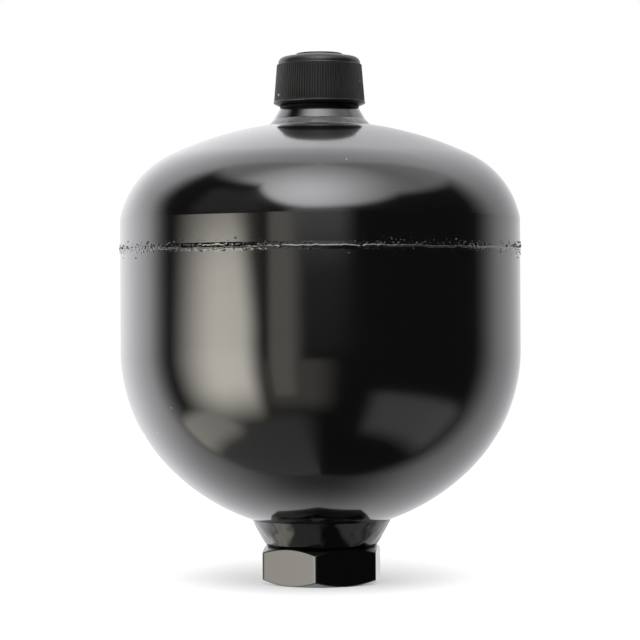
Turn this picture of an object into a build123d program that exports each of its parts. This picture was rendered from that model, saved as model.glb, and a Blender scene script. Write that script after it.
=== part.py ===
"""Welded diaphragm accumulator, 1.4 litres, standing on its fluid port.

A steel vessel of two drawn shells is joined by one girth weld. A rubber diaphragm hangs inside, held at
its bead by a clamp ring under the weld, and divides the gas side, above, from the oil side, below. A
hexagon port takes the oil line at the bottom. A threaded boss with a charging screw takes the gas at the
top, under a ribbed plastic cap. Sizes are in millimetres, Z is the vessel's axis and z = 0 is the sealing
face of the port.
"""

import os
from math import acos, atan2, cos, hypot, pi, radians, sin, sqrt, tan

from build123d import *

# Vessel
barrel_diameter = 145.0
wall = 5.5
barrel_below_seam = 35.6  # from the seam to the level of the lower knuckle's centre
barrel_above_seam = 5.6
lower_knuckle_offset = 11.0  # from the vessel's axis to the knuckle's centre
lower_crown_rise = 10.9  # from the knuckle's centre level to the crown's centre
lower_oversize = 0.02  # drawn radius beyond the turned barrel
upper_knuckle_offset = 41.2
upper_crown_rise = 85.3
upper_oversize = 0.5

# Girth weld
weld_face_width = 2.6
weld_root_width = 0.8
weld_crown = 0.45  # how far the bead stands out of the barrel

# Fluid port, tapped G 1/2
hex_across_flats = 41.0
hex_height = 13.5
hex_turn = 24.9  # degrees about the axis, as the port was left by its weld
hex_face_relief = 0.3  # flat ring's radius inside the flats
hex_chamfer_angle = 30.0
port_collar_height = 0.8
port_shoulder = 1.2  # collar's radius beyond the spigot
port_below_crown = 5.2  # from the hexagon's top to the lowest point of the lower shell
port_seat_height = 0.8  # from the shell's inner crown up to the button's seat
port_thread_diameter = 18.63
port_thread_depth = 14.5
port_mouth_widening = 1.2
port_passage_diameter = 10.0
port_drill_angle = 59.0
port_seat_chamfer = 0.8
port_weld_foot_overhang = 0.4
port_weld_spread = 4.6  # how much wider the weld is on the shell than at its foot
port_weld_bulge = 0.15

# Gas boss, threaded M28 x 1.5 outside and M8 inside
boss_thread_diameter = 28.0
boss_thread_length = 15.6
boss_thread_chamfer = 1.0
boss_neck_step = 0.3
boss_neck_height = 0.8
boss_cone_spread = 2.3
boss_cone_height = 4.0
boss_foot_height = 0.8  # from the dome's highest point up to the foot of the cone
boss_shoulder = 2.0  # thread's radius beyond the spigot
boss_spigot_overhang = 0.4  # how far the spigot shows inside the dome
boss_socket_play = 2.0
boss_socket_depth = 9.0
boss_socket_chamfer = 0.5
gas_passage_diameter = 3.0
boss_weld_leg = 2.5
boss_weld_penetration = 2.0

# Charging screw and its seal ring
screw_thread_diameter = 8.0
screw_thread_clearance = 0.08
screw_head_diameter = 13.0
screw_head_height = 5.6
screw_head_chamfer = 0.5
screw_neck_relief = 0.4
screw_neck_length = 4.0
screw_thread_length = 8.6
screw_tip_length = 1.2
screw_end_gap = 0.8
screw_key_size = 6.0
screw_key_depth = 4.0
vent_groove_width = 1.4
vent_groove_depth = 0.9
seal_width = 2.0
seal_height = 1.5  # squeezed
seal_clearance = 0.05

# Protective cap and its gasket
cap_bore_clearance = 0.2
cap_rim_gap = 1.0  # from the boss cone up to the rim
cap_rim_wall = 2.5
cap_rim_height = 1.45
cap_rim_round = 1.3
cap_rib_step = 0.2
cap_rib_taper = 1.1
cap_rib_length = 13.4
cap_rib_count = 104
cap_rib_depth = 0.35
cap_rib_crest_share = 0.4  # of the pitch
cap_rib_root_share = 0.2
cap_shoulder_step = 0.5
cap_shoulder_height = 0.5
cap_shoulder_round = 2.2
cap_shoulder_rise = 2.4
cap_roof_rise = 0.8
cap_disc_inset = 4.4
cap_disc_height = 0.5
cap_disc_chamfer = 0.25
gasket_thickness = 1.0
gasket_width = 5.0
gasket_play = 0.3

# Diaphragm, its bead and the ring that traps the bead
skin = 2.0
skin_gap = 0.4  # between the diaphragm and the metal it lies beside
bead_width = 3.8
bead_height = 5.6
bead_round = 1.2
bead_gap = 0.3
ring_leg = 2.5
ring_below_seam = 2.9
ring_above_seam = 5.0
ring_top_chamfer = 1.5
ring_lip_height = 2.4
ring_lip_lead = 1.5

# Closing button moulded into the diaphragm
button_play = 4.0  # between the button's edge and the port's spigot diameter, on the radius
button_thickness = 3.0
button_chamfer = 0.8
button_gap = 0.2  # between the button and the rubber round it
stud_diameter = 7.0
stud_head_diameter = 13.0
stud_head_thickness = 1.7
stud_head_chamfer = 0.4


class Head:
    """The meridian of one drawn end: a knuckle arc that leaves the barrel and a crown arc over the axis.

    side is 1 for a dome that closes upwards and -1 for one that closes downwards. reach is the radius at
    which the knuckle arc stands upright. Heads that share their centres are parallel.
    """

    def __init__(self, level, offset, rise, side, reach):
        self.side = side
        self.level = level
        self.offset = offset
        self.knuckle = reach - offset
        self.crown = self.knuckle + hypot(offset, rise)
        self.crown_centre = level - side * rise
        self.meeting = atan2(rise, offset)
        self.apex = self.crown_centre + side * self.crown

    def knuckle_point(self, angle):
        return (
            self.offset + self.knuckle * cos(angle),
            self.level + self.side * self.knuckle * sin(angle),
        )

    def crown_point(self, angle):
        return (self.crown * cos(angle), self.crown_centre + self.side * self.crown * sin(angle))

    def level_at(self, radius):
        """Height of the crown at a distance from the axis."""
        return self.crown_centre + self.side * sqrt(self.crown**2 - radius**2)

    def radius_at(self, level):
        """Distance of the crown from the axis at a height."""
        return sqrt(self.crown**2 - (level - self.crown_centre) ** 2)

    def crown_arc(self, inner, outer):
        """The crown between two distances from the axis."""
        first, last = acos(inner / self.crown), acos(outer / self.crown)
        middle = (first + last) / 2
        return ThreePointArc(self.crown_point(first), self.crown_point(middle), self.crown_point(last))

    def curve(self, inner, outer):
        """Crown arc and knuckle arc between two distances from the axis."""
        start, end = self.meeting, acos((outer - self.offset) / self.knuckle)
        knuckle_arc = ThreePointArc(
            self.knuckle_point(start), self.knuckle_point((start + end) / 2), self.knuckle_point(end)
        )
        return [self.crown_arc(inner, self.crown * cos(self.meeting)), knuckle_arc]


# Vessel, worked out from the sizes above
barrel_radius = barrel_diameter / 2
inner_radius = barrel_radius - wall
lower_reach = barrel_radius + lower_oversize
lower_crown = lower_reach - lower_knuckle_offset + hypot(lower_knuckle_offset, lower_crown_rise)
lower_level = hex_height + port_below_crown + lower_crown - lower_crown_rise
seam_level = lower_level + barrel_below_seam
upper_level = seam_level + barrel_above_seam


def lower_head(reach):
    return Head(lower_level, lower_knuckle_offset, lower_crown_rise, -1, reach)


def upper_head(reach):
    return Head(upper_level, upper_knuckle_offset, upper_crown_rise, 1, reach)


lower_outside = lower_head(lower_reach)
lower_inside = lower_head(inner_radius)
upper_outside = upper_head(barrel_radius + upper_oversize)
upper_inside = upper_head(inner_radius)

# Fluid port
hex_corner_radius = hex_across_flats / 2 / cos(pi / 6)
hex_face_radius = hex_across_flats / 2 - hex_face_relief
port_collar_level = hex_height + port_collar_height
port_spigot_radius = hex_face_radius - port_shoulder
port_seat_level = lower_inside.apex + port_seat_height
port_thread_radius = port_thread_diameter / 2
port_passage_radius = port_passage_diameter / 2
port_weld_foot_radius = hex_face_radius + port_weld_foot_overhang
port_weld_radius = port_weld_foot_radius + port_weld_spread

# Gas boss
boss_thread_radius = boss_thread_diameter / 2
boss_neck_radius = boss_thread_radius + boss_neck_step
boss_cone_foot_radius = boss_neck_radius + boss_cone_spread
boss_foot_level = upper_outside.apex + boss_foot_height
boss_cone_level = boss_foot_level + boss_cone_height
boss_thread_level = boss_cone_level + boss_neck_height
boss_top = boss_thread_level + boss_thread_length
boss_spigot_radius = boss_thread_radius - boss_shoulder
boss_base_level = upper_outside.level_at(boss_spigot_radius)
boss_end_level = upper_inside.level_at(boss_spigot_radius) - boss_spigot_overhang

# Charging screw and its seal ring
screw_head_radius = screw_head_diameter / 2
screw_thread_radius = screw_thread_diameter / 2
screw_neck_radius = screw_thread_radius - screw_neck_relief
screw_seat_level = boss_top - boss_socket_depth
screw_neck_end = screw_seat_level - screw_neck_length
screw_thread_end = screw_neck_end - screw_thread_length
screw_tip_end = screw_thread_end - screw_tip_length
seal_recess_level = screw_seat_level - seal_height - 2 * seal_clearance
seal_inner_radius = screw_neck_radius + seal_clearance
seal_recess_radius = seal_inner_radius + seal_width + seal_clearance

# Protective cap
cap_bore_radius = boss_thread_radius + cap_bore_clearance
cap_rim_radius = cap_bore_radius + cap_rim_wall
cap_rib_foot_radius = cap_rim_radius - cap_rib_step
cap_rib_head_radius = cap_rib_foot_radius - cap_rib_taper
cap_rim_level = boss_cone_level + cap_rim_gap
cap_rib_level = cap_rim_level + cap_rim_height
cap_shoulder_level = cap_rib_level + cap_rib_length
cap_roof_inside = boss_top + gasket_thickness

# Diaphragm, clamp ring and button
bead_outer_radius = inner_radius - skin_gap
bead_inner_radius = bead_outer_radius - bead_width
bead_top = seam_level - ring_below_seam - bead_gap
bead_bottom = bead_top - bead_height
button_radius = port_spigot_radius - button_play
button_top = port_seat_level + button_thickness
hub_underside = button_top + button_gap
hub_top = hub_underside + skin
stud_radius = stud_diameter / 2
stud_head_level = hub_top + button_gap


def joined(*points):
    """Straight edges through the given points."""
    return [Line(first, last) for first, last in zip(points, points[1:])]


def closed(*points):
    """Straight edges through the given points and back to the first."""
    return joined(*points, points[0])


def turned(*edges):
    """A solid of revolution about Z. Its outline is drawn as (distance from the axis, height)."""
    return revolve(Plane.XZ * Face(Wire(edges)), Axis.Z)


def disc(radius, bottom, top):
    """A round bar about Z between two heights."""
    return Pos(0, 0, bottom) * Cylinder(radius, top - bottom, align=(Align.CENTER, Align.CENTER, Align.MIN))


def make_shell(outside, inside, hole_radius):
    """A drawn shell with a bored crown, a barrel turned to size and a bevelled rim at the seam."""
    outer = outside.curve(hole_radius, barrel_radius)
    inner = inside.curve(hole_radius, inner_radius)
    rim_outside = (barrel_radius, seam_level + outside.side * weld_face_width / 2)
    rim_inside = (inner_radius, seam_level + outside.side * weld_root_width / 2)
    return turned(
        *outer,
        *joined(outer[-1] @ 1, rim_outside, rim_inside, inner[-1] @ 1),
        *inner,
        Line(inner[0] @ 0, outer[0] @ 0),
    )


def make_girth_weld():
    """The V of weld metal between the two bevels, with its crowned bead."""
    low_face = (barrel_radius, seam_level - weld_face_width / 2)
    high_face = (barrel_radius, seam_level + weld_face_width / 2)
    low_root = (inner_radius, seam_level - weld_root_width / 2)
    high_root = (inner_radius, seam_level + weld_root_width / 2)
    return turned(
        *joined(high_face, high_root, low_root, low_face),
        ThreePointArc(low_face, (barrel_radius + weld_crown, seam_level), high_face),
    )


def make_hexagon():
    """The hexagon of the port, chamfered at both ends by a turning tool."""
    drop = (hex_corner_radius - hex_face_radius) * tan(radians(hex_chamfer_angle))
    envelope = turned(
        *closed(
            (0, 0),
            (hex_face_radius, 0),
            (hex_corner_radius, drop),
            (hex_corner_radius, hex_height - drop),
            (hex_face_radius, hex_height),
            (0, hex_height),
        )
    )
    return extrude(RegularPolygon(hex_corner_radius, 6, rotation=hex_turn), hex_height) & envelope


def make_port():
    """Hexagon, collar and spigot in one turned piece, tapped from below and seated at the top."""
    collar = disc(hex_face_radius, hex_height, port_collar_level)
    spigot = disc(port_spigot_radius, port_collar_level, port_seat_level)
    drill_rise = (port_thread_radius - port_passage_radius) / tan(radians(port_drill_angle))
    bore = turned(
        *closed(
            (0, 0),
            (port_thread_radius + port_mouth_widening, 0),
            (port_thread_radius, port_mouth_widening),
            (port_thread_radius, port_thread_depth),
            (port_passage_radius, port_thread_depth + drill_rise),
            (port_passage_radius, port_seat_level - port_seat_chamfer),
            (port_passage_radius + port_seat_chamfer, port_seat_level),
            (0, port_seat_level),
        )
    )
    return make_hexagon() + collar + spigot - bore


def make_port_weld():
    """The cone of weld metal between the collar of the port and the lower shell."""
    run_out = (port_weld_radius, lower_outside.level_at(port_weld_radius))
    foot = (port_weld_foot_radius, port_collar_level)
    bulge = (
        (run_out[0] + foot[0]) / 2 + port_weld_bulge,
        (run_out[1] + foot[1]) / 2 - port_weld_bulge,
    )
    return turned(
        ThreePointArc(run_out, bulge, foot),
        *joined(
            foot,
            (port_spigot_radius, port_collar_level),
            (port_spigot_radius, lower_outside.level_at(port_spigot_radius)),
        ),
        lower_outside.crown_arc(port_spigot_radius, port_weld_radius),
    )


def make_gas_boss():
    """The boss: spigot through the dome, cone foot, outside thread and the stepped hole for the screw."""
    outside = turned(
        *closed(
            (0, boss_end_level),
            (boss_spigot_radius, boss_end_level),
            (boss_spigot_radius, boss_base_level),
            (boss_cone_foot_radius, boss_base_level),
            (boss_cone_foot_radius, boss_foot_level),
            (boss_neck_radius, boss_cone_level),
            (boss_neck_radius, boss_thread_level),
            (boss_thread_radius, boss_thread_level),
            (boss_thread_radius, boss_top - boss_thread_chamfer),
            (boss_thread_radius - boss_thread_chamfer, boss_top),
            (0, boss_top),
        )
    )
    socket_radius = screw_head_radius + boss_socket_play
    socket = disc(socket_radius, screw_seat_level, boss_top)
    mouth = turned(
        *closed(
            (0, boss_top - boss_socket_chamfer),
            (socket_radius, boss_top - boss_socket_chamfer),
            (socket_radius + boss_socket_chamfer, boss_top),
            (0, boss_top),
        )
    )
    recess = disc(seal_recess_radius, seal_recess_level, screw_seat_level)
    tapping_end = screw_tip_end - screw_end_gap
    tapping = disc(screw_thread_radius + screw_thread_clearance, tapping_end, seal_recess_level)
    passage = disc(gas_passage_diameter / 2, boss_end_level, tapping_end)
    return outside - socket - mouth - recess - tapping - passage


def make_boss_weld():
    """The weld ring round the foot of the boss, which also fills the wedge under its base."""
    toe = boss_cone_foot_radius + boss_weld_leg
    root = boss_cone_foot_radius - boss_weld_penetration
    return turned(
        *joined(
            (toe, upper_outside.level_at(toe)),
            (boss_cone_foot_radius, boss_foot_level),
            (boss_cone_foot_radius, boss_base_level),
            (root, boss_base_level),
            (root, upper_outside.level_at(root)),
        ),
        upper_outside.crown_arc(root, toe),
    )


def make_charging_screw():
    """Hexagon-socket screw with a relieved neck and a groove that lets gas past its thread."""
    head_top = screw_seat_level + screw_head_height
    body = turned(
        *closed(
            (0, screw_tip_end),
            (screw_thread_radius - screw_tip_length, screw_tip_end),
            (screw_thread_radius, screw_thread_end),
            (screw_thread_radius, screw_neck_end),
            (screw_neck_radius, screw_neck_end + screw_neck_relief),
            (screw_neck_radius, screw_seat_level),
            (screw_head_radius, screw_seat_level),
            (screw_head_radius, head_top - screw_head_chamfer),
            (screw_head_radius - screw_head_chamfer, head_top),
            (0, head_top),
        )
    )
    key_corner = screw_key_size / 2 / cos(pi / 6)
    socket = Pos(0, 0, head_top - screw_key_depth) * extrude(RegularPolygon(key_corner, 6), screw_key_depth)
    groove = Pos(screw_thread_radius, 0, (screw_neck_end + screw_neck_relief + screw_tip_end) / 2) * Box(
        2 * vent_groove_depth, vent_groove_width, screw_neck_end + screw_neck_relief - screw_tip_end
    )
    return body - socket - groove


def make_screw_seal():
    """The seal ring, squeezed to an oval between the screw's head and its recess."""
    centre = (seal_inner_radius + seal_width / 2, seal_recess_level + seal_clearance + seal_height / 2)
    return revolve(Plane.XZ * Pos(*centre) * Ellipse(seal_width / 2, seal_height / 2), Axis.Z)


def grip_outline(crest_radius, level):
    """Outline of the grip at one height: flat-topped ribs with narrower grooves between them."""
    pitch = 2 * pi / cap_rib_count
    crest, root = pitch * cap_rib_crest_share / 2, pitch * (1 - cap_rib_root_share) / 2
    corners = (
        (crest_radius, -crest),
        (crest_radius, crest),
        (crest_radius - cap_rib_depth, root),
        (crest_radius - cap_rib_depth, pitch - root),
    )
    points = [
        (radius * cos(rib * pitch + angle), radius * sin(rib * pitch + angle))
        for rib in range(cap_rib_count)
        for radius, angle in corners
    ]
    return Pos(0, 0, level) * make_face(Polyline(*points, close=True))


def make_cap():
    """The plastic cap: a rounded rim, a tapered ribbed grip, a smooth shoulder and a low disc on top."""
    grip = loft(
        [
            grip_outline(cap_rib_foot_radius, cap_rib_level),
            grip_outline(cap_rib_head_radius, cap_shoulder_level),
        ],
        ruled=True,
    )
    rim_foot = (cap_rim_radius - cap_rim_round, cap_rim_level)
    rim_side = (cap_rim_radius, cap_rim_level + cap_rim_round)
    rim = turned(
        RadiusArc(rim_foot, rim_side, -cap_rim_round),
        *joined(rim_side, (cap_rim_radius, cap_rib_level), (0, cap_rib_level), (0, cap_rim_level), rim_foot),
    )
    shoulder_radius = cap_rib_head_radius - cap_shoulder_step
    shoulder = (shoulder_radius, cap_shoulder_level + cap_shoulder_height)
    brow = (shoulder_radius - cap_shoulder_round, shoulder[1] + cap_shoulder_rise)
    disc_radius = brow[0] - cap_disc_inset
    roof_level = brow[1] + cap_roof_rise
    top_level = roof_level + cap_disc_height
    top = turned(
        TangentArc(shoulder, brow, tangent=(0, 1)),
        *joined(
            brow,
            (disc_radius, roof_level),
            (disc_radius, top_level - cap_disc_chamfer),
            (disc_radius - cap_disc_chamfer, top_level),
            (0, top_level),
            (0, cap_shoulder_level),
            (shoulder_radius, cap_shoulder_level),
            shoulder,
        ),
    )
    return rim + grip + top - disc(cap_bore_radius, cap_rim_level, cap_roof_inside)


def make_cap_seal():
    """The flat gasket between the cap's roof and the boss."""
    outer = cap_bore_radius - gasket_play
    return disc(outer, boss_top, cap_roof_inside) - disc(outer - gasket_width, boss_top, cap_roof_inside)


def make_clamp_ring():
    """The ring that backs the weld's root and hooks under the diaphragm's bead."""
    groove_radius = bead_inner_radius - bead_gap
    inner = groove_radius - ring_leg
    top = seam_level + ring_above_seam
    groove_top = seam_level - ring_below_seam
    lip_top = bead_bottom - bead_gap
    lip_bottom = lip_top - ring_lip_height
    lip_radius = bead_outer_radius - skin - bead_gap
    return turned(
        *closed(
            (inner, lip_bottom),
            (lip_radius - ring_lip_lead, lip_bottom),
            (lip_radius, lip_bottom + ring_lip_lead),
            (lip_radius, lip_top),
            (groove_radius, lip_top),
            (groove_radius, groove_top),
            (inner_radius, groove_top),
            (inner_radius, top),
            (inner + ring_top_chamfer, top),
            (inner, top - ring_top_chamfer),
        )
    )


def make_diaphragm():
    """The moulded rubber bowl, with a bead at its rim and a flat hub over the closing button."""
    oil_reach = bead_outer_radius
    gas_reach = oil_reach - skin
    oil_side, gas_side = lower_head(oil_reach), lower_head(gas_reach)
    recess_radius = button_radius + button_gap
    stud_hole = stud_radius + button_gap
    outer = oil_side.curve(recess_radius, oil_reach)
    inner = gas_side.curve(gas_side.radius_at(hub_top), gas_reach)
    bead_foot, bead_neck = (oil_reach, bead_bottom), (gas_reach, bead_bottom)
    bead = FilletPolyline(
        bead_foot,
        (bead_outer_radius, bead_top),
        (bead_inner_radius, bead_top),
        (bead_inner_radius, bead_bottom),
        bead_neck,
        radius=bead_round,
    )
    recess = joined((stud_hole, hub_top), (stud_hole, hub_underside), (recess_radius, hub_underside))
    return turned(
        *recess,
        Line((recess_radius, hub_underside), outer[0] @ 0),
        *outer,
        Line(outer[-1] @ 1, bead_foot),
        *bead.edges(),
        Line(bead_neck, inner[-1] @ 1),
        *inner,
        Line(inner[0] @ 0, (stud_hole, hub_top)),
    )


def make_closing_button():
    """The button that shuts the port, with the stud and head that hold it in the rubber."""
    head_radius = stud_head_diameter / 2
    head_top = stud_head_level + stud_head_thickness
    return turned(
        *closed(
            (0, port_seat_level),
            (button_radius - button_chamfer, port_seat_level),
            (button_radius, port_seat_level + button_chamfer),
            (button_radius, button_top),
            (stud_radius, button_top),
            (stud_radius, stud_head_level),
            (head_radius, stud_head_level),
            (head_radius, head_top - stud_head_chamfer),
            (head_radius - stud_head_chamfer, head_top),
            (0, head_top),
        )
    )


pieces = {
    "lower_shell": make_shell(lower_outside, lower_inside, port_spigot_radius),
    "upper_shell": make_shell(upper_outside, upper_inside, boss_spigot_radius),
    "girth_weld": make_girth_weld(),
    "fluid_port": make_port(),
    "port_weld": make_port_weld(),
    "gas_boss": make_gas_boss(),
    "boss_weld": make_boss_weld(),
    "charging_screw": make_charging_screw(),
    "screw_seal": make_screw_seal(),
    "protective_cap": make_cap(),
    "cap_seal": make_cap_seal(),
    "clamp_ring": make_clamp_ring(),
    "diaphragm": make_diaphragm(),
    "closing_button": make_closing_button(),
}

os.makedirs("parts", exist_ok=True)
for name, piece in pieces.items():
    export_step(piece, f"parts/{name}.step")
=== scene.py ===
# %% [markdown]
# # A welded diaphragm accumulator in gloss black
# The real object is a small pressure vessel that stores hydraulic energy. Two drawn steel shells are
# joined by one weld, a hexagon port takes the oil below and a capped boss takes the gas above. The solid
# model already holds every size and every joint, so this lesson dresses it: each visible piece gets a
# fine mesh on the same sizes, and each finish is mixed from nodes.

# %% Load the solid model
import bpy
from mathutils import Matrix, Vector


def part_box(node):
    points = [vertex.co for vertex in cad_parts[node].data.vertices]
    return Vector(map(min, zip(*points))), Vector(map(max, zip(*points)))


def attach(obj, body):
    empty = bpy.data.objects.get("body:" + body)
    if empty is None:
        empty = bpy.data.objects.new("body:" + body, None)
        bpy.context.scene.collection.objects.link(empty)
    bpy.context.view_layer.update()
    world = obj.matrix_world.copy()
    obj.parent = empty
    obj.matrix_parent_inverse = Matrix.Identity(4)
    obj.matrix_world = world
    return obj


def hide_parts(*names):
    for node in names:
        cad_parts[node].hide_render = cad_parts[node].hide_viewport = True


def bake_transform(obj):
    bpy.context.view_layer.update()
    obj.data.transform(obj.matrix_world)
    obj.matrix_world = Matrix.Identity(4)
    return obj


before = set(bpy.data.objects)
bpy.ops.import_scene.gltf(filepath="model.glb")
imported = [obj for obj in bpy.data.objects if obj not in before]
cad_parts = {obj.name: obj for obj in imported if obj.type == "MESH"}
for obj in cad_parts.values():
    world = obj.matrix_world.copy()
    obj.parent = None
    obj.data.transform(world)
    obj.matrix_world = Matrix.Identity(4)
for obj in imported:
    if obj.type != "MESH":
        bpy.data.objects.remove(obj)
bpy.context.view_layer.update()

# %% [markdown]
# ## Units and a few small tools
# Drawings of machine parts are in millimetres and Blender works in metres. Sizes here stay in
# millimetres, as on the drawing, and a single factor turns them into metres when a mesh is made.

# %% Imports and units
import math

import bmesh
import bpy
import numpy as np

mm = 0.001
print("one millimetre is", mm, "m")

# %% [markdown]
# ## Seeing it from where the photographer stood
# A long lens flattens the shape, so the distance matters as much as the height. The eye is level with the
# lower part of the barrel: the weld above it curves up at its middle and the port below it curves down.
# A third of a degree of roll repeats the slight lean of the picture.

# %% Camera
photo_width_px = 640
focal_px = 2500
eye_distance = 909.0
eye_height = 95.2
eye_offset = -0.2
lean_degrees = 0.3

camera_data = bpy.data.cameras.new("photo_camera")
camera_data.sensor_width = 36.0
camera_data.lens = camera_data.sensor_width * focal_px / photo_width_px
camera_data.clip_start = 0.05
camera = bpy.data.objects.new("photo_camera", camera_data)
camera.location = (eye_offset * mm, -eye_distance * mm, eye_height * mm)
camera.rotation_euler = (math.radians(90), math.radians(lean_degrees), 0)
bpy.context.scene.collection.objects.link(camera)
bpy.context.scene.camera = camera
bpy.context.scene.view_settings.view_transform = "Standard"
print("lens:", round(camera_data.lens, 1), "mm at", eye_distance, "mm")

# %% [markdown]
# ## Wiring nodes by script
# Node trees read better when a line says what a node does. One helper adds a node, sets its options and
# wires or fills its inputs, and a second does arithmetic. The same two helpers serve materials, the world
# and Geometry Nodes.

# %% Node helpers
def add_node(tree, kind, inputs=None, **options):
    """Add a node to a tree. inputs maps a socket's name or number to a value or to another socket."""
    node = tree.nodes.new(kind)
    for name, value in options.items():
        setattr(node, name, value)
    for key, value in (inputs or {}).items():
        if isinstance(value, bpy.types.NodeSocket):
            tree.links.new(value, node.inputs[key])
        else:
            node.inputs[key].default_value = value
    return node


def calc(tree, operation, *values, clamp=False):
    """One arithmetic step, as the output socket of a Math node."""
    inputs = dict(enumerate(values))
    return add_node(tree, "ShaderNodeMath", inputs, operation=operation, use_clamp=clamp).outputs[0]


def ramp(tree, value, low, high, to_low=0.0, to_high=1.0):
    """A smooth step of a value from one level to another."""
    inputs = {"Value": value, "From Min": low, "From Max": high, "To Min": to_low, "To Max": to_high}
    return add_node(tree, "ShaderNodeMapRange", inputs, interpolation_type="SMOOTHSTEP").outputs["Result"]


print("node helpers ready")

# %% [markdown]
# ## A plain white studio
# Gloss black paint has almost no colour of its own: what it shows is the room. So the room is described
# by direction, as a photographer would plan it: a white sweep behind, a white ceiling with a softbox above
# the front, a low window panel at the left front, grey cards and furniture beside it, and near black
# everywhere else. Area lamps could do this too, but a plan by direction puts each edge of a highlight where
# it is wanted. One shader group holds that plan. It takes a direction and gives a brightness and a tint,
# because daylight from the window panel is a little warmer than the ceiling.

# %% Studio plan
sweep_light = 0.82
window_light = 5.3
softbox_light = 3.9
softbox_aim = (-10.0, 46.0)
ceiling_light = 1.35
room_light = 0.02
sweep_middle = -125.0


def angles_of(tree, direction):
    """Azimuth and elevation of a direction in degrees. Azimuth 0 faces the photographer, 90 is right."""
    x, y, z = add_node(tree, "ShaderNodeSeparateXYZ", {0: direction}).outputs
    turn = calc(tree, "ARCTAN2", x, calc(tree, "MULTIPLY", y, -1.0))
    rise = calc(tree, "ARCSINE", z)
    return calc(tree, "DEGREES", turn), calc(tree, "DEGREES", rise)


def product(tree, *values):
    """Multiply any number of values."""
    total = values[0]
    for value in values[1:]:
        total = calc(tree, "MULTIPLY", total, value)
    return total


def panel(tree, azimuth, elevation, sides, ends, light):
    """A soft rectangle of light. sides and ends say, in degrees, where its edges start and stop fading."""
    left = ramp(tree, azimuth, sides[0], sides[1])
    right = ramp(tree, azimuth, sides[3], sides[2])
    bottom = ramp(tree, elevation, ends[0], ends[1])
    top = ramp(tree, elevation, ends[3], ends[2])
    return product(tree, left, right, bottom, top, light)


def aim(azimuth, elevation):
    """The unit vector of a direction given in degrees."""
    turn, rise = math.radians(azimuth), math.radians(elevation)
    return (math.cos(rise) * math.sin(turn), -math.cos(rise) * math.cos(turn), math.sin(rise))


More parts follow.
